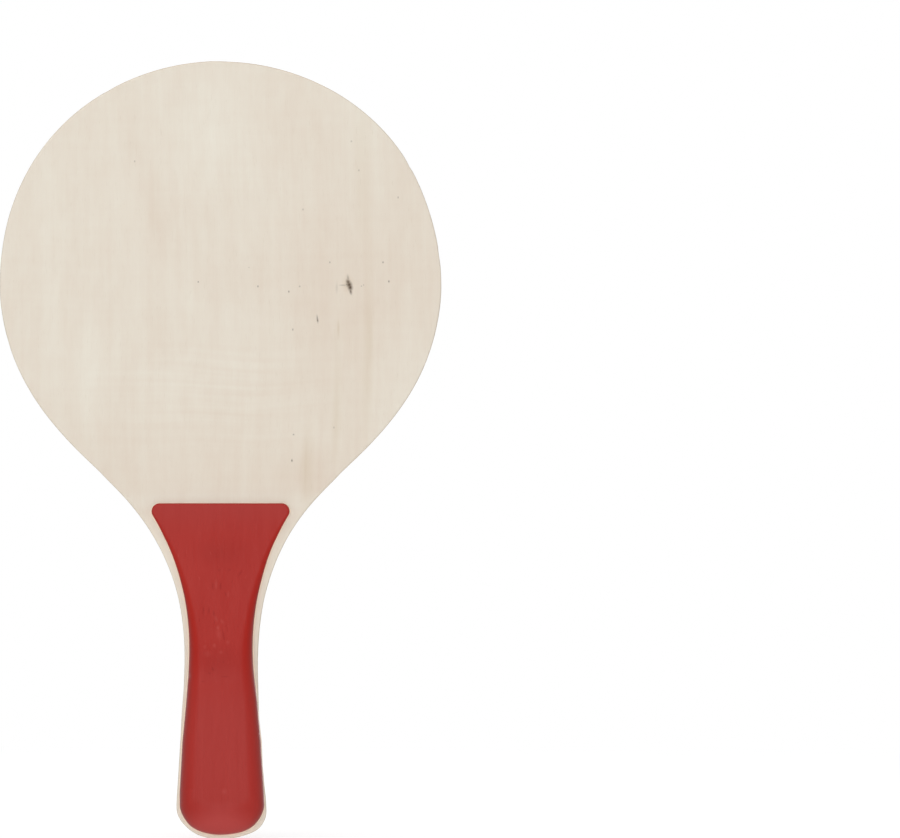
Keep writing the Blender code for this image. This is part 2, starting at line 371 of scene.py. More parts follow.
def sanding_wobble(outline, seed, size):
    """Small uneven steps in or out along an edge that was sanded by hand."""
    return np.array([
        size * noise.noise(Vector((x * SLOW_EDGE_WAVES, seed, height * SLOW_EDGE_WAVES)))
        + size / 2 * noise.noise(Vector((x * QUICK_EDGE_WAVES, seed + 7, height * QUICK_EDGE_WAVES)))
        for x, height in outline])


# Small dents in the blade's edge: x, height, reach and depth
EDGE_DENTS = (
    (0.0938, 0.2480, 0.0022, 0.00022),
    (0.0805, 0.2860, 0.0016, 0.00025),
    (-0.0926, 0.2100, 0.0026, 0.00018),
    (-0.0480, 0.3185, 0.0018, 0.00022),
    (-0.0660, 0.1730, 0.0014, 0.00020),
)


def edge_wear(outline):
    """How far knocks and sanding have set back the blade's edge, the same for all its plies."""
    left = soft_steps(outline[:, 1], SANDED_HEIGHTS, SANDED_LEFT)
    right = soft_steps(outline[:, 1], SANDED_HEIGHTS, SANDED_RIGHT)
    share = np.clip(0.5 + outline[:, 0] / SHAPED_BLEND, 0.0, 1.0)
    wear = left + (right - left) * share
    wear += EDGE_WEAR + sanding_wobble(outline, 3, EDGE_WEAR)
    for x, height, reach, depth in EDGE_DENTS:
        distance = np.hypot(outline[:, 0] - x, outline[:, 1] - height)
        wear += depth * np.exp(-(distance / reach) ** 2)
    return wear


def worn_outline(seed, inset=0.0):
    """The blade's outline with its wear, for one ply or for the glue a little further in."""
    outline = mirrored(blade_side())
    back = inset + edge_wear(outline) + sanding_wobble(outline, seed, PLY_UNEVENNESS)
    return outline + inward_normals(outline) * back[:, None]


def closed_sheet(rings):
    """A sheet through stacked rings, with its first and last ring filled."""
    shape = bmesh.new()
    loops = skin(shape, rings)
    close_across(shape, loops[0])
    close_across(shape, loops[-1])
    return shape


def add_ply(name, node, seed, material, outer=0):
    """A ply of the blade in place of its CAD node. Its outer side, -1 or +1 along Y, is eased."""
    low, high = depths(node)
    outline = worn_outline(seed)
    if outer == 0:
        rings = [ring_at(outline, low), ring_at(outline, high)]
    else:
        inner_depth, outer_depth = (high, low) if outer < 0 else (low, high)
        inward = inward_normals(outline)
        ease = EDGE_EASE * (1 + EASE_UNEVENNESS * sanding_wobble(outline, seed + 20, 1.0))
        rings = [ring_at(outline, inner_depth)]
        for angle in np.linspace(0.0, math.pi / 2, EASE_STEPS + 1):
            inset = outline + inward * (ease * (1 - math.cos(angle)))[:, None]
            rings.append(ring_at(inset, outer_depth - outer * ease * (1 - math.sin(angle))))
        guard = outline + inward * (ease + GUARD_RING)[:, None]
        rings.append(ring_at(guard, outer_depth))
    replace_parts(add_piece(name, closed_sheet(rings), material), node)


def add_glue_sheet(name, before, behind, outline, material):
    """The glue between two plies, from the back of one to the front of the next."""
    low = depths(before)[1]
    high = depths(behind)[0]
    sheet = closed_sheet([ring_at(outline, low), ring_at(outline, high)])
    add_piece(name, sheet, material)


# Small hollows in the front of a scale: x, height, radius and depth
BRAD_DIMPLE = (0.0016, 0.0211, 0.0010, 0.00014)
FRONT_HOLLOWS = (
    BRAD_DIMPLE,
    (-0.0137, 0.0695, 0.0011, 0.00035),
    (0.0135, 0.0590, 0.0010, 0.00025),
    (0.0143, 0.1328, 0.0009, 0.00008),
    (-0.0011, 0.1200, 0.0012, 0.00006),
)
BACK_HOLLOWS = (
    BRAD_DIMPLE,
    (0.0132, 0.0480, 0.0012, 0.00030),
    (-0.0105, 0.0335, 0.0008, 0.00012),
)


def hand_shaping(point, seed, hollows):
    """How far the surface of a scale lies below its ideal form at a point of its front."""
    wave = noise.noise(Vector((point.x * SCALE_WAVES_ACROSS, seed, point.z * SCALE_WAVES_ALONG)))
    low = SCALE_WEAR + SCALE_WEAR * wave
    height = point.z + GRIP_CENTRE_HEIGHT
    for x, hollow_height, radius, depth in hollows:
        distance = math.hypot(point.x - x, height - hollow_height)
        low += depth * math.exp(-(distance / radius) ** 2)
    return low


def shaped_outline(shaped_left, shaped_right, shaped_top):
    """A scale's closed outline with its two hand-sanded sides and its top edge."""
    outline = scale_outline()
    x, heights = outline.T
    left = -soft_steps(heights, SHAPED_HEIGHTS, shaped_left)
    right = soft_steps(heights, SHAPED_HEIGHTS, shaped_right)
    moves = np.where(x > 0.0, right, left) * np.minimum(np.abs(x) / SHAPED_BLEND, 1.0)
    rise = shaped_top * np.clip(1 - (SCALE_TOP_HEIGHT - heights) / SHAPED_BLEND, 0.0, 1.0)
    return np.column_stack([x + moves, heights + rise])


def put_on_blade(shape, node):
    """Moves a shape that was made with the front scale's foot at depth 0 to a scale, front or back."""
    low, high = depths(node)
    on_front = node.endswith("front")
    foot = high if on_front else low
    turn = 1.0 if on_front else -1.0
    for vertex in shape.verts:
        vertex.co = (vertex.co.x * turn, vertex.co.y * turn + foot, vertex.co.z)


def rim_width(outline):
    """The bare wood left beside each point of a scale's outline, up to the blade's worn edge."""
    edge = worn_outline(1, inset=EDGE_EASE / 2)
    across = outline[:, None, :] - edge[None, :, :]
    return np.hypot(across[:, :, 0], across[:, :, 1]).min(axis=1)


def add_glue_bead(name, node, outline, material):
    """The thin bead of glue that was squeezed out along the foot of a scale; its pale colour is partly
    painted light over the shade at the scale's foot.
    """
    outward = -inward_normals(outline)
    uneven = BEAD_WIDTH * (1 + BEAD_UNEVENNESS * sanding_wobble(outline, 15, 1.0))
    below_top = (SCALE_TOP_HEIGHT - outline[:, 1]) / SCALE_CORNER_RADIUS
    uneven *= np.clip(below_top, BEAD_SHARE_AT_TOP, 1.0)
    width = np.minimum(uneven, BEAD_SHARE_OF_RIM * rim_width(outline))
    reach = outward * width[:, None]
    shoulder_reach, shoulder_rise = BEAD_SHOULDER
    rings = [
        ring_at(outline + reach, SCALE_GAP),
        ring_at(outline + reach * shoulder_reach, SCALE_GAP - BEAD_RISE * shoulder_rise),
        ring_at(outline, SCALE_GAP - BEAD_RISE),
        ring_at(outline - outward * BEAD_ROOT, SCALE_GAP - BEAD_RISE),
        ring_at(outline - outward * BEAD_ROOT, SCALE_GAP),
    ]
    shape = bmesh.new()
    skin(shape, rings, closed=True)
    put_on_blade(shape, node)
    add_piece(name, shape, material)


def fill_front(shape, front):
    """A fine grid over a scale's front, row by row from its top edge down, with a fan at its end."""
    right = front[ACROSS - 1:]
    row = [right[-1]] + front[:ACROSS - 1] + [right[0]]
    for step in range(1, len(right) // 2):
        first, last = right[-1 - step], right[step]
        next_row = [first]
        for share in np.linspace(0.0, 1.0, ACROSS + 1)[1:-1]:
            next_row.append(shape.verts.new(first.co.lerp(last.co, share)))
        next_row.append(last)
        for column in range(ACROSS):
            shape.faces.new((row[column], row[column + 1], next_row[column + 1], next_row[column]))
        row = next_row
    tip = right[len(right) // 2]
    for column in range(ACROSS):
        shape.faces.new((row[column], row[column + 1], tip))


def wear_down(shape, underside, seed, hollows):
    """Moves a scale's surface in by what hand work took off it, but not its underside."""
    bmesh.ops.recalc_face_normals(shape, faces=shape.faces)
    shape.normal_update()
    for vertex in shape.verts:
        if vertex not in underside:
            vertex.co -= vertex.normal * hand_shaping(vertex.co, seed, hollows)


def add_scale(name, node, outline, seed, hollows, material):
    """A painted handle scale in place of its CAD node."""
    way_in, drop = edge_rounding(outline)
    rings = [ring_at(outline, SCALE_GAP)]
    for angle in np.linspace(0.0, math.pi / 2, ROUND_STEPS + 1):
        moved = outline + way_in * (1 - math.cos(angle))
        front = scale_thickness(moved[:, 1]) - drop * (1 - math.sin(angle))
        rings.append(ring_at(moved, -front))
    shape = bmesh.new()
    loops = skin(shape, rings)
    shape.faces.new(loops[0])
    fill_front(shape, loops[-1])
    wear_down(shape, set(loops[0]), seed, hollows)
    put_on_blade(shape, node)
    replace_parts(add_piece(name, shape, material), node)


# Materials

WIDTH_AXIS = (1.0, 0.0, 0.0)
DEPTH_AXIS = (0.0, 1.0, 0.0)
HEIGHT_AXIS = (0.0, 0.0, 1.0)


def seen(red, green, blue):
    """A colour as seen on screen, 0 to 255, as the linear colour that a shader takes."""
    def linear(channel):
        share = channel / 255
        return share / 12.92 if share <= 0.04045 else ((share + 0.055) / 1.055) ** 2.4
    return (linear(red), linear(green), linear(blue), 1.0)


class Surface:
    """A node material in the making. Each method adds a node and gives back its output."""

    def __init__(self, name, specular=0.5):
        self.material = bpy.data.materials.new(name)
        self.material.use_nodes = True
        self.tree = self.material.node_tree
        self.shader = self.tree.nodes["Principled BSDF"]
        self.shader.inputs["Specular IOR Level"].default_value = specular
        coordinates = self.tree.nodes.new("ShaderNodeTexCoord")
        self.place = coordinates.outputs["Object"]
        self.normal = coordinates.outputs["Normal"]

    def put(self, socket, value):
        """Links a socket to another node's output, or sets it to a constant."""
        if isinstance(value, bpy.types.NodeSocket):
            self.tree.links.new(value, socket)
        else:
            socket.default_value = value

    def math(self, operation, first, second=0.0, third=0.0):
        node = self.tree.nodes.new("ShaderNodeMath")
        node.operation = operation
        for socket, value in zip(node.inputs, (first, second, third)):
            self.put(socket, value)
        return node.outputs[0]

    def add(self, *values):
        total = values[0]
        for value in values[1:]:
            total = self.math("ADD", total, value)
        return total

    def times(self, first, second):
        return self.math("MULTIPLY", first, second)

    def vector(self, operation, first, second):
        node = self.tree.nodes.new("ShaderNodeVectorMath")
        node.operation = operation
        self.put(node.inputs[0], first)
        self.put(node.inputs[1], second)
        gives_number = operation in ("LENGTH", "DOT_PRODUCT")
        return node.outputs["Value" if gives_number else "Vector"]

    def noise(self, place, per_metre, seed, detail=2.0, roughness=0.5):
        """Soft noise about 0.5, with as many features per metre all round or along each axis."""
        if not isinstance(per_metre, tuple):
            per_metre = (per_metre, per_metre, per_metre)
        node = self.tree.nodes.new("ShaderNodeTexNoise")
        node.noise_dimensions = "4D"
        self.put(node.inputs["Vector"], self.vector("MULTIPLY", place, per_metre))
        node.inputs["W"].default_value = seed
        node.inputs["Scale"].default_value = 1.0
        node.inputs["Detail"].default_value = detail
        node.inputs["Roughness"].default_value = roughness
        return node.outputs[0]

    def swing(self, value, amount):
        """Noise about 0.5 turned into a swing of that amount about zero."""
        return self.math("MULTIPLY_ADD", value, amount, -amount / 2)

    def fade(self, value, start, end):
        """0 at the start and beyond, 1 at the end and beyond, and a smooth step between."""
        node = self.tree.nodes.new("ShaderNodeMapRange")
        node.interpolation_type = "SMOOTHSTEP"
        self.put(node.inputs["Value"], value)
        node.inputs["From Min"].default_value = start
        node.inputs["From Max"].default_value = end
        return node.outputs[0]

    def band(self, value, lower, upper):
        """1 between two pairs of values. At each pair it fades in, from the first to the second."""
        return self.times(self.fade(value, *lower), self.fade(value, *upper))

    def spot(self, place, x, height, half_width, half_height, tilt=0.0, hard=0.0):
        """1 in the middle of an ellipse on the face, fading to 0 at its edge."""
        node = self.tree.nodes.new("ShaderNodeMapping")
        node.vector_type = "TEXTURE"
        self.put(node.inputs["Vector"], place)
        node.inputs["Location"].default_value = (x, 0.0, height - GRIP_CENTRE_HEIGHT)
        node.inputs["Rotation"].default_value = (0.0, math.radians(tilt), 0.0)
        node.inputs["Scale"].default_value = (half_width, 1.0, half_height)
        distance = self.vector("LENGTH", node.outputs[0], (0.0, 0.0, 0.0))
        return self.fade(distance, 1.0, hard)

    def with_spots(self, value, place, spots):
        """A value, or the strongest spot wherever that is more. Each spot ends in its strength."""
        for *ellipse, strength in spots:
            value = self.math("MAXIMUM", self.times(self.spot(place, *ellipse), strength), value)
        return value

    def mix(self, factor, first, second):
        """Two colours mixed. The node's sockets for colours come after those for other data."""
        node = self.tree.nodes.new("ShaderNodeMix")
        node.data_type = "RGBA"
        self.put(node.inputs[0], factor)
        self.put(node.inputs[6], first)
        self.put(node.inputs[7], second)
        return node.outputs[2]

    def height(self):
        """Height above the butt end."""
        node = self.tree.nodes.new("ShaderNodeSeparateXYZ")
        self.put(node.inputs[0], self.place)
        return self.math("ADD", node.outputs["Z"], GRIP_CENTRE_HEIGHT)

    def facing(self, axis):
        """How squarely the surface faces along an axis, from 0 to 1."""
        return self.math("ABSOLUTE", self.vector("DOT_PRODUCT", self.normal, axis))

    def swayed(self, axis, per_metre, sway, seed):
        """The place, pushed along an axis by a slow noise, so that straight lines wander."""
        push = self.swing(self.noise(self.place, per_metre, seed, detail=1.0), sway)
        node = self.tree.nodes.new("ShaderNodeCombineXYZ")
        self.put(node.inputs[axis], push)
        return self.vector("ADD", self.place, node.outputs[0])

    def finish(self, colour, roughness, relief, depth):
        """Wires the colour, the roughness and a bump of that depth, and gives back the material."""
        bump = self.tree.nodes.new("ShaderNodeBump")
        bump.inputs["Strength"].default_value = 1.0
        bump.inputs["Distance"].default_value = depth
        self.put(bump.inputs["Height"], relief)
        self.put(self.shader.inputs["Base Color"], colour)
        self.put(self.shader.inputs["Roughness"], roughness)
        self.put(self.shader.inputs["Normal"], bump.outputs[0])
        return self.material


PALE_WOOD = seen(233, 227, 213)
WARM_WOOD = seen(218, 200, 182)
# Paler wood for the rim beside the scales: painted light against their shade
RIM_PAINTED_LIGHT_WOOD = seen(238, 229, 212)
FIGURE_WOOD = seen(204, 184, 154)
PORE_WOOD = seen(176, 150, 116)
KNOT_WOOD = seen(78, 58, 40)
KNOT_HALO = seen(196, 168, 132)
# Sanded edge wood, greyer and darker: its own colour and painted shade
SANDED_AND_SHADED_EDGE = seen(200, 188, 166)
END_GRAIN = seen(184, 157, 120)

# Looks that come in with the height on a face: from the first height to the second of each pair
# Painted light on the wood just around the scale's top edge, against the shade that its lip casts
PAINTED_LIGHT_BESIDE_TOP = ((0.138, 0.1425), (0.149, 0.1435))
WARMER_NECK = (0.200, 0.150)
# Heights over which the wood beside the scales turns paler: painted light
RIM_PAINTED_LIGHT = (0.146, 0.120)

# Where the ripples across the grain show best: x, height, half width and half height
RIPPLE_ZONE = (-0.002, 0.189, 0.068, 0.030)

# Places on a face, in metres and degrees: x, height, half width, half height and tilt. Patches end in
# how much warmer they are, and the streaks, the small dark marks and the halos in how strong they are.
FRONT_PATCHES = (
    (-0.003, 0.2985, 0.0210, 0.0390, 0, -0.22),
    (-0.060, 0.2700, 0.0450, 0.0750, 0, -0.03),
    (-0.053, 0.1980, 0.0150, 0.0330, 0, -0.16),
    (0.077, 0.1900, 0.0285, 0.0480, 0, -0.12),
    (0.062, 0.3080, 0.0360, 0.0300, 0, -0.10),
    (-0.0235, 0.2595, 0.0225, 0.0300, 0, 0.14),
    (0.004, 0.2370, 0.0300, 0.0195, 0, 0.14),
    (-0.0226, 0.2158, 0.0180, 0.0195, 0, 0.12),
    (0.055, 0.2264, 0.0600, 0.0660, 0, 0.30),
    (-0.033, 0.2830, 0.0090, 0.0630, -14, 0.14),
    (0.040, 0.3020, 0.0180, 0.0240, 0, 0.10),
    (0.040, 0.1540, 0.0210, 0.0195, 0, 0.22),
)
FRONT_STREAKS = (
    (0.0624, 0.2380, 0.0030, 0.075, 0, 0.05),
    (0.0624, 0.2129, 0.0018, 0.016, 0, 0.12),
    (0.0613, 0.2010, 0.0036, 0.050, 0, 0.20),
    (0.0601, 0.2830, 0.0050, 0.048, 0, 0.13),
    (0.0487, 0.1900, 0.0030, 0.048, 0, 0.15),
    (0.0484, 0.1780, 0.0028, 0.020, 0, 0.14),
    (0.0492, 0.2167, 0.0008, 0.0055, 0, 0.40),
    (0.0363, 0.1586, 0.0010, 0.020, 0, 0.18),
    (0.0370, 0.1570, 0.0046, 0.028, 0, 0.20),
)
FRONT_MARKS = (
    (0.0545, 0.2352, 0.0018, 0.0022, -18, 1.00),
    (0.0549, 0.2341, 0.0016, 0.0023, -8, 1.00),
    (0.0551, 0.2324, 0.0009, 0.0021, -10, 0.80),
    (0.0541, 0.2363, 0.0014, 0.0020, -24, 0.90),
    (0.0536, 0.2353, 0.0010, 0.0008, 30, 0.65),
    (0.0540, 0.2379, 0.0008, 0.0024, -8, 0.42),
    (0.0519, 0.2350, 0.0026, 0.0005, 0, 0.32),
    (0.0492, 0.2338, 0.0008, 0.0036, 0, 0.14),
    (0.0410, 0.2207, 0.0005, 0.0027, -6, 0.60),
    (0.0411, 0.2201, 0.0006, 0.0012, -6, 0.80),
    (0.0463, 0.2447, 0.0004, 0.0007, 0, 0.55),
    (0.0688, 0.2447, 0.0005, 0.0007, 0, 0.60),
    (0.0713, 0.2366, 0.0005, 0.0008, 0, 0.72),
    (0.0597, 0.2346, 0.0004, 0.0004, 0, 0.50),
    (0.0606, 0.2351, 0.0003, 0.0005, 0, 0.45),
    (0.0335, 0.2345, 0.0006, 0.0006, 0, 0.38),
    (0.0752, 0.2722, 0.0004, 0.0008, 0, 0.50),
    (0.0158, 0.2345, 0.0005, 0.0007, 0, 0.60),
    (-0.0095, 0.2364, 0.0005, 0.0006, 0, 0.62),
    (0.0120, 0.2425, 0.0004, 0.0004, 0, 0.32),
    (0.0289, 0.2323, 0.0005, 0.0007, 0, 0.62),
    (0.0306, 0.2162, 0.0004, 0.0008, 0, 0.60),
    (0.0302, 0.1607, 0.0005, 0.0009, 0, 0.80),
    (0.0309, 0.1717, 0.0006, 0.0006, 0, 0.50),
    (0.0554, 0.2960, 0.0006, 0.0006, 0, 0.36),
    (0.0586, 0.2837, 0.0004, 0.0007, 0, 0.48),
    (0.0349, 0.2671, 0.0004, 0.0007, 0, 0.45),
    (-0.0364, 0.2875, 0.0004, 0.0007, 0, 0.45),
    (0.0480, 0.1747, 0.0004, 0.0007, 0, 0.40),
)
FRONT_HALO = (0.0540, 0.2355, 0.0042, 0.0060, 0, 0.30)
BACK_HALO = (-0.030, 0.262, 0.005, 0.008, 0, 0.2)

# How far from the middle of the head the marks of the back face lie
BACK_MARKS_RADIUS = 0.085


def moved_spots(spots, turn, rise):
    """Spots for the other face: each x is multiplied, and each height is raised."""
    return tuple((x * turn, height + rise, *rest) for x, height, *rest in spots)


def random_marks(seed, count):
    """Small marks for a face that the photograph doesn't show."""
    rng = random.Random(seed)
    marks = []
    for _ in range(count):
        angle = rng.uniform(0, math.tau)
        reach = BACK_MARKS_RADIUS * math.sqrt(rng.random())
        x = reach * math.cos(angle)
        height = LENGTH - HEAD_DROP + reach * math.sin(angle)
        half_width = rng.uniform(0.0003, 0.0005)
        half_height = rng.uniform(0.0004, 0.0012)
        tilt = rng.uniform(-8, 8)
        strength = rng.uniform(0.3, 0.6)
        marks.append((x, height, half_width, half_height, tilt, strength))
    return marks


def veneer_tone(wood, grain, strips, fibres, seed, patches):
    """How warm the veneer is, from 0, pale, to 1: slow clouds and bands, fine grain, patches, and
    painted light beside the scale's top edge.
    """
    height = wood.height()
    cloud = wood.noise(grain, (24, 24, 10), seed + 1)
    bands = wood.noise(grain, (110, 40, 7), seed + 2)
    mottle = wood.noise(grain, (220, 60, 90), seed + 8)
    not_quite_level = wood.swayed("Z", (16, 16, 12), 0.008, seed + 5)
    ripples = wood.noise(not_quite_level, (14, 14, 320), seed + 6, detail=1.0)

    tone = wood.add(
        0.35,
        wood.swing(cloud, 0.28),
        wood.swing(bands, 0.46),
        wood.swing(strips, 0.20),
        wood.swing(fibres, 0.17),
        wood.swing(mottle, 0.34),
        wood.swing(ripples, 0.12),
        wood.times(wood.fade(height, *WARMER_NECK), 0.16),
        # Painted light beside the scale's top edge
        wood.times(wood.band(height, *PAINTED_LIGHT_BESIDE_TOP), -0.18),
    )
    for *ellipse, warmer in patches:
        tone = wood.math("MULTIPLY_ADD", wood.spot(grain, *ellipse), warmer, tone)
    zone = wood.spot(wood.place, *RIPPLE_ZONE)
    return wood.math("MULTIPLY_ADD", wood.swing(ripples, 0.70), zone, tone)


def face_wood(name, seed, patches, streaks, marks, halo):
    """Pale sanded veneer: grain that runs up the blade, streaks, pores, and a knot with its specks.
    Painted light pales the wood beside the scales, and painted shade partly darkens the edges.
    """
    wood = Surface(name, specular=0.35)
    grain = wood.swayed("X", (14, 14, 9), 0.007, seed)
    strips = wood.noise(grain, (480, 60, 16), seed + 3)
    fibres = wood.noise(grain, (2300, 300, 75), seed + 4, detail=3.0, roughness=0.6)
    colour = wood.mix(veneer_tone(wood, grain, strips, fibres, seed, patches), PALE_WOOD, WARM_WOOD)
    # Painted light: the wood beside the scales is paler, against the shade that they cast
    colour = wood.mix(wood.times(wood.fade(wood.height(), *RIM_PAINTED_LIGHT), 0.60), colour, RIM_PAINTED_LIGHT_WOOD)

    for *ellipse, strength in streaks:
        colour = wood.mix(wood.times(wood.spot(grain, *ellipse), strength), colour, FIGURE_WOOD)

    pores = wood.noise(grain, (4600, 500, 230), seed + 7, detail=1.0)
    pore_depth = wood.fade(pores, 0.64, 0.78)
    colour = wood.mix(wood.times(pore_depth, 0.14), colour, PORE_WOOD)

    *ellipse, strength = halo
    around = wood.spot(wood.place, *ellipse)
    colour = wood.mix(wood.times(wood.times(around, around), strength), colour, KNOT_HALO)
    marked = wood.with_spots(0.0, wood.place, marks)
    colour = wood.mix(marked, colour, KNOT_WOOD)

    # Eased edges and walls turn greyer and darker away from the front: partly the sanded wood, partly
    # painted shade
    on_edge = wood.fade(wood.facing(DEPTH_AXIS), 0.92, 0.45)
    end_on = wood.fade(wood.facing(HEIGHT_AXIS), 0.45, 0.90)
    edge_colour = wood.mix(end_on, SANDED_AND_SHADED_EDGE, END_GRAIN)
    colour = wood.mix(wood.times(on_edge, 0.85), colour, edge_colour)

    roughness = wood.add(
        0.56,
        wood.swing(strips, 0.16),
        wood.swing(fibres, 0.14),
        wood.times(on_edge, 0.12),
    )
    relief = wood.add(
        wood.swing(fibres, 1.0),
        wood.swing(strips, 1.1),
        wood.times(pore_depth, -0.5),
        wood.times(marked, -1.4),
    )
    return wood.finish(colour, roughness, relief, depth=0.00006)


# Colours of a ply's edge: long grain, its darker streaks, end grain, and the vessels in it
CROSS_COLOURS = (seen(220, 201, 170), seen(178, 149, 110), seen(202, 175, 136), seen(118, 88, 58))
CORE_COLOURS = (seen(226, 211, 184), seen(190, 164, 126), seen(206, 182, 144), seen(128, 98, 66))


def edge_wood(name, seed, grain_axis, long_colour, dark_colour, end_colour, vessel_colour):
    """A ply that shows only at its sawn and sanded edge: long grain or end grain, by how it faces."""
    wood = Surface(name, specular=0.3)
    along = tuple(60 if part else 2600 for part in grain_axis)
    streaks = wood.noise(wood.place, along, seed, detail=3.0, roughness=0.6)
    slow = wood.noise(wood.place, 70, seed + 1)
    ends = wood.noise(wood.place, 3800, seed + 2, roughness=0.7)
    rings = wood.noise(wood.place, 240, seed + 3, detail=1.0)
    rays = wood.noise(wood.place, (2600, 500, 2600), seed + 4, detail=1.0)
    vessels = wood.fade(wood.noise(wood.place, 9500, seed + 5, detail=0.0), 0.60, 0.74)
    long_tone = wood.add(0.4, wood.swing(streaks, 1.3), wood.swing(slow, 0.8))
    long_grain = wood.mix(long_tone, long_colour, dark_colour)
    end_tone = wood.add(0.45, wood.swing(ends, 1.3), wood.swing(rings, 1.3), wood.swing(rays, 0.9))
    end_grain = wood.mix(end_tone, end_colour, dark_colour)
    end_grain = wood.mix(wood.times(vessels, 0.30), end_grain, vessel_colour)
    end_on = wood.fade(wood.facing(grain_axis), 0.35, 0.85)
    colour = wood.mix(end_on, long_grain, end_grain)
    roughness = wood.add(0.68, wood.swing(streaks, 0.2), wood.times(end_on, 0.08))
    rough_end = wood.add(wood.swing(ends, 1.4), wood.times(vessels, -0.8))
    relief = wood.add(wood.swing(streaks, 0.8), wood.times(rough_end, end_on))
    return wood.finish(colour, roughness, relief, depth=0.00008)


PLY_GLUE = seen(186, 154, 112)
DARK_PLY_GLUE = seen(142, 108, 70)
# Pale cream for the glue bead: the glue's own colour, made paler by painted light against the scale's
# shade
BEAD_GLUE_AND_LIGHT = seen(253, 233, 211)
DARK_BEAD_GLUE = seen(247, 222, 197)


def glue(name, seed, per_metre, swings, colours, roughness, depth):
    """Cured glue with a slow stain and a fine grit, each with its features per metre and its swing."""
    line = Surface(name, specular=0.4)
    stain = line.noise(line.place, per_metre[0], seed)
    grit = line.noise(line.place, per_metre[1], seed + 1)
    tone = line.add(0.5, line.swing(stain, swings[0]), line.swing(grit, swings[1]))
    rough = line.add(roughness, line.swing(grit, 0.3))
    return line.finish(line.mix(tone, *colours), rough, grit, depth)


RED = seen(169, 35, 24)
DEEP_RED = seen(159, 27, 18)
# Pinker reds for the flat grip and the lip: painted sheen
GRIP_SHEEN_RED = seen(169, 46, 39)
GRIP_SHEEN_DEEP_RED = seen(159, 38, 32)
# A dark red for pores and torn grain, and for two patches of painted shade on the front scale
PORE_AND_SHADE_RED = seen(122, 22, 20)
# A paler red for lifted fibres, and for the painted highlight on the brad's dimple
RUBBED_AND_HIGHLIT_RED = seen(182, 70, 62)
# A darker red for the steep sides of a scale: painted shade
SIDE_SHADE_RED = seen(116, 34, 30)
# A paler, pinker red for the butt end: a painted highlight
BUTT_HIGHLIGHT_RED = seen(186, 78, 75)

# Heights between which a look fades in on a scale: its scoop, where the grain is torn, and the plain
# red between the grip and the top edge. Beyond it the flat grip and the lip take a pinker red, a
# painted sheen.
SCOOPED = ((0.062, 0.078), (0.140, 0.118))
SCOOP_WITHOUT_SHEEN = ((0.048, 0.085), (0.146, 0.126))

# Where the butt end is paler and pinker, a painted highlight as if lit from below: x, height, half
# width and half height
BUTT_HIGHLIGHT_SPOT = (0.0, 0.002, 0.021, 0.016)

# Torn grain of the front scale and two broad patches of painted shade, first dark and then light, in
# metres and degrees: x, height, half width, half height, tilt and how strong. The last light one is the
# painted highlight on the brad's dimple.
FRONT_TEARS_AND_SHADE = (
    # Two broad patches of painted shade: at the ridge where the scoop starts, and on the upper scoop
    (0.0, 0.0755, 0.0150, 0.0120, 0, 0.19),
    (0.0, 0.1215, 0.0180, 0.0090, 0, 0.13),
    (0.0084, 0.1130, 0.0006, 0.0024, 30, 0.35),
    (-0.0032, 0.1074, 0.0007, 0.0022, 0, 0.32),
    (0.0001, 0.1075, 0.0007, 0.0024, 0, 0.36),
    (-0.0006, 0.1144, 0.0009, 0.0012, 0, 0.28),
    (0.0038, 0.1145, 0.0010, 0.0010, 0, 0.28),
    (0.0022, 0.1042, 0.0006, 0.0014, 0, 0.32),
    (-0.0072, 0.0971, 0.0007, 0.0025, 0, 0.32),
    (-0.0048, 0.0973, 0.0007, 0.0021, 0, 0.32),
    (-0.0027, 0.0958, 0.0007, 0.0023, -12, 0.34),
    (0.0014, 0.0866, 0.0006, 0.0034, -10, 0.42),
    (0.0013, 0.0755, 0.0011, 0.0013, 0, 0.34),
    (-0.0030, 0.0725, 0.0011, 0.0018, -35, 0.48),
    (-0.0046, 0.0708, 0.0012, 0.0008, 0, 0.34),
    (0.0022, 0.0693, 0.0034, 0.0005, 0, 0.36),
    (-0.0074, 0.0672, 0.0016, 0.0005, 0, 0.25),
    (-0.0012, 0.1200, 0.0020, 0.0016, 0, 0.22),
)
FRONT_LIFTS_AND_HIGHLIGHT = (
    (-0.0018, 0.1084, 0.0009, 0.0032, 0, 0.34),
    (0.0033, 0.1042, 0.0008, 0.0022, 0, 0.30),
    (-0.0018, 0.0938, 0.0010, 0.0022, -20, 0.32),
    (0.0008, 0.0926, 0.0010, 0.0017, -30, 0.34),
    (-0.0010, 0.0900, 0.0010, 0.0014, 0, 0.50),
    (-0.0005, 0.0872, 0.0020, 0.0040, -8, 0.26),
    (-0.0025, 0.0825, 0.0011, 0.0014, 0, 0.38),
    (0.0032, 0.0839, 0.0012, 0.0013, 0, 0.30),
    (0.0003, 0.0797, 0.0012, 0.0011, 0, 0.34),
    (-0.0065, 0.0820, 0.0012, 0.0014, 0, 0.26),
    (-0.0052, 0.0790, 0.0024, 0.0022, 0, 0.20),
    # A painted highlight on the brad's dimple
    (0.0017, 0.0212, 0.0019, 0.0019, 0, 0.32),
)


def random_tears(seed, count):
    """Torn grain for a scale that the photograph doesn't show, in its scooped middle."""
    rng = random.Random(seed)
    tears = []
    for _ in range(count):
        x = rng.gauss(0.0, 0.0045)
        height = rng.uniform(0.068, 0.122)
        half_width = rng.uniform(0.0006, 0.0012)
        half_height = rng.uniform(0.0011, 0.0032)
        tilt = rng.uniform(-25, 25)
        strength = rng.uniform(0.2, 0.4)
        tears.append((x, height, half_width, half_height, tilt, strength))
    return tears


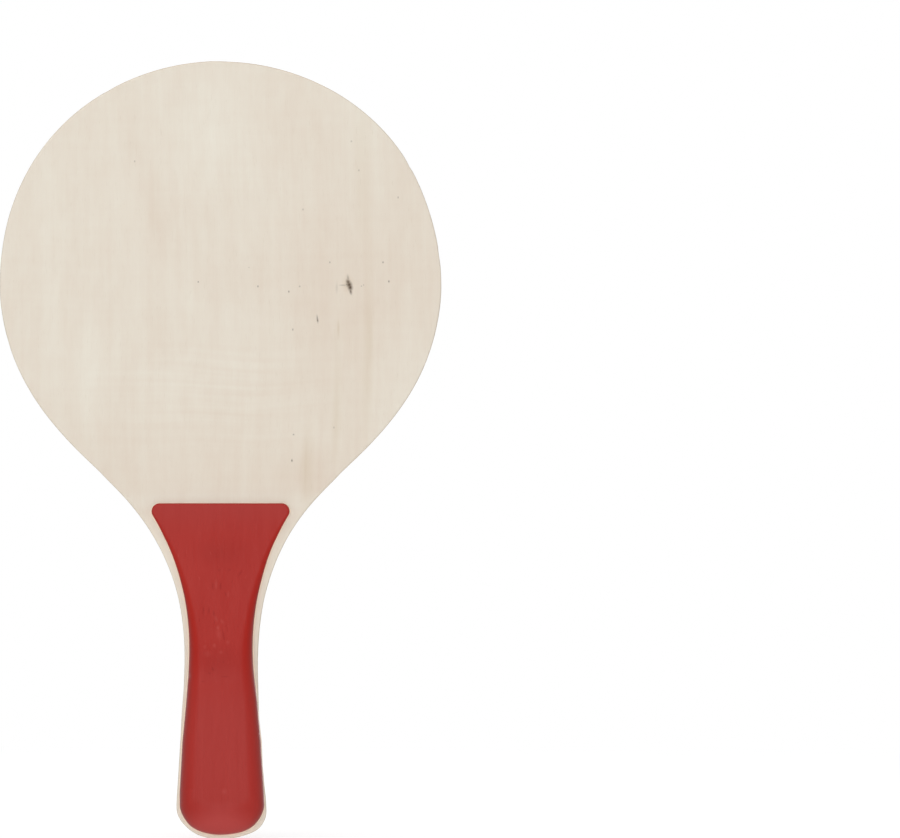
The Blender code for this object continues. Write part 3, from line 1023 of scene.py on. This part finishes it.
def red_paint(name, seed, tears, lifts_and_highlight):
    """Satin red paint over wood. The grain shows through, most of all where the scoop cuts it, with
    painted sheen on the grip, painted shade on the sides and painted highlights.
    """
    paint = Surface(name, specular=0.17)
    grain = paint.swayed("X", (30, 30, 14), 0.003, seed)
    height = paint.height()
    scoop = paint.band(height, *SCOOPED)

    cloud = paint.noise(paint.place, (55, 55, 20), seed + 1)
    bands = paint.noise(grain, (330, 330, 18), seed + 2)
    fibres = paint.noise(grain, (1900, 1900, 110), seed + 3, detail=3.0, roughness=0.6)
    dark_flecks = paint.fade(paint.noise(grain, (1500, 1500, 300), seed + 4, detail=1.0), 0.64, 0.80)
    light_flecks = paint.fade(paint.noise(grain, (1300, 1300, 280), seed + 5, detail=1.0), 0.66, 0.80)
    specks = paint.noise(paint.place, 2100, seed + 6, detail=1.0)

    tone = paint.add(0.35, paint.swing(cloud, 0.7), paint.swing(bands, 0.6), paint.swing(fibres, 0.5))
    # Painted sheen: the flat grip and the lip are pinker, and the scoop between them keeps the plain
    # red
    without_sheen = paint.band(height, *SCOOP_WITHOUT_SHEEN)
    light_red_with_sheen = paint.mix(without_sheen, GRIP_SHEEN_RED, RED)
    deep_red_with_sheen = paint.mix(without_sheen, GRIP_SHEEN_DEEP_RED, DEEP_RED)
    colour = paint.mix(tone, light_red_with_sheen, deep_red_with_sheen)

    # Pores and torn grain; on the front scale the list also holds two patches of painted shade
    pores = paint.times(dark_flecks, paint.math("MULTIPLY_ADD", scoop, 0.22, 0.06))
    pores = paint.with_spots(pores, paint.place, tears)
    colour = paint.mix(pores, colour, PORE_AND_SHADE_RED)
    # Lifted fibres; on the front scale the list also holds a painted highlight on the brad's dimple
    lifted = paint.times(light_flecks, paint.math("MULTIPLY_ADD", scoop, 0.20, 0.06))
    lifted = paint.with_spots(lifted, paint.place, lifts_and_highlight)
    colour = paint.mix(lifted, colour, RUBBED_AND_HIGHLIT_RED)

    # Painted shade: the paint is darker where a scale's side turns away from the front
    painted_side_shade = paint.fade(paint.facing(DEPTH_AXIS), 0.99, 0.15)
    colour = paint.mix(paint.times(painted_side_shade, 0.55), colour, SIDE_SHADE_RED)
    # A painted highlight on the butt end, as if lit from below
    butt = paint.spot(paint.place, *BUTT_HIGHLIGHT_SPOT, hard=0.3)
    colour = paint.mix(paint.times(butt, 0.6), colour, BUTT_HIGHLIGHT_RED)

    roughness = paint.add(
        0.42,
        paint.swing(bands, 0.10),
        paint.swing(fibres, 0.14),
        paint.times(pores, 0.2),
    )
    relief = paint.add(
        paint.swing(bands, 0.9),
        paint.swing(fibres, 0.9),
        paint.swing(specks, 0.25),
        paint.times(pores, -1.2),
        paint.times(lifted, 0.8),
    )
    return paint.finish(colour, roughness, relief, depth=0.00007)


STEEL = seen(168, 168, 170)
DARK_STEEL = seen(128, 127, 128)


def drawn_steel(name, seed):
    """Bright drawn wire with fine lines along it."""
    steel = Surface(name)
    lines = steel.noise(steel.place, (9000, 300, 9000), seed)
    stain = steel.noise(steel.place, (700, 500, 700), seed + 1)
    tone = steel.add(0.5, steel.swing(lines, 1.0), steel.swing(stain, 1.0))
    colour = steel.mix(tone, STEEL, DARK_STEEL)
    steel.shader.inputs["Metallic"].default_value = 1.0
    roughness = steel.add(0.34, steel.swing(lines, 0.25), steel.swing(stain, 0.15))
    return steel.finish(colour, roughness, lines, depth=0.00002)


# Stage

# What the photograph shows: its middle and its width on the plane of the blade
PHOTO_CENTRE_X = 0.0972
PHOTO_CENTRE_HEIGHT = 0.1783
PHOTO_WIDTH = 0.3817
CAMERA_DISTANCE = 4.0
CAMERA_REACH = 100.0
SENSOR_WIDTH = 36.0

# The floor is lit and grey up to one radius, and plain white to the camera from the next one on. It
# glows a little, and more so to the camera.
FLOOR_SIZE = 30.0
FLOOR_LIT_RADIUS = 0.45
FLOOR_WHITE_RADIUS = 1.1
FLOOR_GREY = seen(182, 182, 182)
FLOOR_DARK_GREY = seen(178, 178, 179)
FLOOR_LIFT = 0.48
FLOOR_LIFT_TO_CAMERA = 0.12

# Each lamp's place, width, height and power, and the point that they all face
LAMPS = {
    "front_lamp": ((-0.2, -3.0, 0.35), 2.2, 1.4, 40),
    "back_lamp": ((0.2, 3.0, 0.45), 2.2, 1.4, 42),
    "top_lamp": ((-0.3, -0.4, 2.6), 1.6, 1.6, 26),
}
LAMP_TARGET = Vector((0.0, 0.0, 0.12))
WORLD_LIGHT = 0.34


def white_to_camera(tree):
    """1 for rays from the camera, gloss and glass, and 0 for the light that falls on the paddle."""
    rays = tree.nodes.new("ShaderNodeLightPath")
    total = rays.outputs["Is Camera Ray"]
    for kind in ("Is Glossy Ray", "Is Transmission Ray"):
        node = tree.nodes.new("ShaderNodeMath")
        node.operation = "MAXIMUM"
        tree.links.new(total, node.inputs[0])
        tree.links.new(rays.outputs[kind], node.inputs[1])
        total = node.outputs[0]
    return total


def floor_material():
    """Pale floor that keeps the paddle's soft shadow and turns to plain white further out."""
    floor = Surface("floor", specular=0.1)
    tree = floor.tree
    mottle = floor.noise(floor.place, 40, 5, detail=3.0)
    colour = floor.mix(mottle, FLOOR_GREY, FLOOR_DARK_GREY)
    material = floor.finish(colour, 0.9, mottle, depth=0.00002)
    seen_white = white_to_camera(tree)
    distance = floor.vector("LENGTH", floor.place, (0.0, 0.0, 0.0))
    far = floor.fade(distance, FLOOR_LIT_RADIUS, FLOOR_WHITE_RADIUS)

    lift = tree.nodes.new("ShaderNodeEmission")
    strength = floor.math("MULTIPLY_ADD", seen_white, FLOOR_LIFT_TO_CAMERA, FLOOR_LIFT)
    floor.put(lift.inputs["Strength"], strength)
    lifted = tree.nodes.new("ShaderNodeAddShader")
    tree.links.new(floor.shader.outputs[0], lifted.inputs[0])
    tree.links.new(lift.outputs[0], lifted.inputs[1])
    white = tree.nodes.new("ShaderNodeEmission")
    white.inputs["Strength"].default_value = 1.0
    switch = tree.nodes.new("ShaderNodeMixShader")
    floor.put(switch.inputs[0], floor.times(seen_white, far))
    tree.links.new(lifted.outputs[0], switch.inputs[1])
    tree.links.new(white.outputs[0], switch.inputs[2])
    tree.links.new(switch.outputs[0], tree.nodes["Material Output"].inputs["Surface"])
    return material


def add_floor():
    half = FLOOR_SIZE / 2
    shape = bmesh.new()
    square = ((-half, -half), (half, -half), (half, half), (-half, half))
    shape.faces.new([shape.verts.new((x, y, 0.0)) for x, y in square])
    floor = add_mesh("floor", shape, floor_material())
    floor.location.z = -GRIP_CENTRE_HEIGHT


def add_lamp(name, place, width, height, power):
    light = bpy.data.lights.new(name, "AREA")
    light.shape = "RECTANGLE"
    light.size = width
    light.size_y = height
    light.energy = power
    lamp = add_object(name, light)
    lamp.location = place
    towards = LAMP_TARGET - Vector(place)
    lamp.rotation_euler = towards.to_track_quat("-Z", "Y").to_euler()
    lamp.visible_camera = False


def add_world():
    world = bpy.data.worlds.new("studio")
    world.use_nodes = True
    tree = world.node_tree
    background = tree.nodes["Background"]
    background.inputs["Color"].default_value = (1.0, 1.0, 1.0, 1.0)
    strength = tree.nodes.new("ShaderNodeMapRange")
    strength.inputs["To Min"].default_value = WORLD_LIGHT
    strength.inputs["To Max"].default_value = 1.0
    tree.links.new(white_to_camera(tree), strength.inputs["Value"])
    tree.links.new(strength.outputs[0], background.inputs["Strength"])
    bpy.context.scene.world = world


def add_camera():
    optics = bpy.data.cameras.new("camera")
    optics.sensor_width = SENSOR_WIDTH
    optics.lens = SENSOR_WIDTH * CAMERA_DISTANCE / PHOTO_WIDTH
    optics.clip_end = CAMERA_REACH
    camera = add_object("camera", optics)
    camera.location = (PHOTO_CENTRE_X, -CAMERA_DISTANCE, PHOTO_CENTRE_HEIGHT - GRIP_CENTRE_HEIGHT)
    camera.rotation_euler = (math.pi / 2, 0.0, 0.0)
    bpy.context.scene.camera = camera


def build_blade():
    front_face = face_wood("front_face_wood", 11, FRONT_PATCHES, FRONT_STREAKS, FRONT_MARKS, FRONT_HALO)
    back_patches = moved_spots(FRONT_PATCHES[::2], turn=-1.0, rise=-0.02)
    back_streaks = moved_spots(FRONT_STREAKS, turn=-0.7, rise=0.01)
    back_marks = random_marks(seed=4, count=14)
    back_face = face_wood("back_face_wood", 57, back_patches, back_streaks, back_marks, BACK_HALO)
    front_cross = edge_wood("front_cross_wood", 21, WIDTH_AXIS, *CROSS_COLOURS)
    core = edge_wood("core_wood", 31, HEIGHT_AXIS, *CORE_COLOURS)
    back_cross = edge_wood("back_cross_wood", 41, WIDTH_AXIS, *CROSS_COLOURS)

    add_ply("front_face_sheet", "front_face_veneer", 1, front_face, outer=-1)
    add_ply("front_cross_sheet", "front_crossband", 2, front_cross)
    add_ply("core_sheet", "core_ply", 3, core)
    add_ply("back_cross_sheet", "back_crossband", 4, back_cross)
    add_ply("back_face_sheet", "back_face_veneer", 5, back_face, outer=1)

    ply_glue = glue(
        "ply_glue", 61, per_metre=(120, 2400), swings=(1.2, 0.8),
        colours=(PLY_GLUE, DARK_PLY_GLUE), roughness=0.45, depth=0.00005)
    outline = worn_outline(9, inset=GLUE_RECESS)
    stack = ("front_face_veneer", "front_crossband", "core_ply", "back_crossband", "back_face_veneer")
    for number, (before, behind) in enumerate(zip(stack, stack[1:]), start=1):
        add_glue_sheet("glue_line_%d" % number, before, behind, outline, ply_glue)


def build_handle():
    front_outline = shaped_outline(FRONT_SHAPED_LEFT, FRONT_SHAPED_RIGHT, FRONT_SHAPED_TOP)
    front_paint = red_paint("front_paint", 71, FRONT_TEARS_AND_SHADE, FRONT_LIFTS_AND_HIGHLIGHT)
    add_scale("front_scale", "handle_scale_front", front_outline, 71, FRONT_HOLLOWS, front_paint)

    back_outline = shaped_outline(BACK_SHAPED_LEFT, BACK_SHAPED_RIGHT, BACK_SHAPED_TOP)
    back_tears = random_tears(seed=5, count=12)
    back_paint = red_paint("back_paint", 83, back_tears, random_tears(seed=6, count=10))
    add_scale("back_scale", "handle_scale_back", back_outline, 83, BACK_HOLLOWS, back_paint)

    bead_glue = glue(
        "bead_glue", 89, per_metre=(160, 2600), swings=(1.4, 0.6),
        colours=(BEAD_GLUE_AND_LIGHT, DARK_BEAD_GLUE), roughness=0.40, depth=0.00004)
    add_glue_bead("front_bead", "handle_scale_front", front_outline, bead_glue)
    add_glue_bead("back_bead", "handle_scale_back", back_outline, bead_glue)

    for name, seed in (("brad_front", 97), ("brad_back", 98)):
        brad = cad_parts[name]
        for material_slot in brad.material_slots:
            material_slot.material = drawn_steel(name + "_steel", seed)


def build_stage():
    add_floor()
    for name, (place, width, height, power) in LAMPS.items():
        add_lamp(name, place, width, height, power)
    add_world()
    add_camera()
    bpy.context.scene.view_settings.view_transform = "Standard"


build_blade()
build_handle()
build_stage()
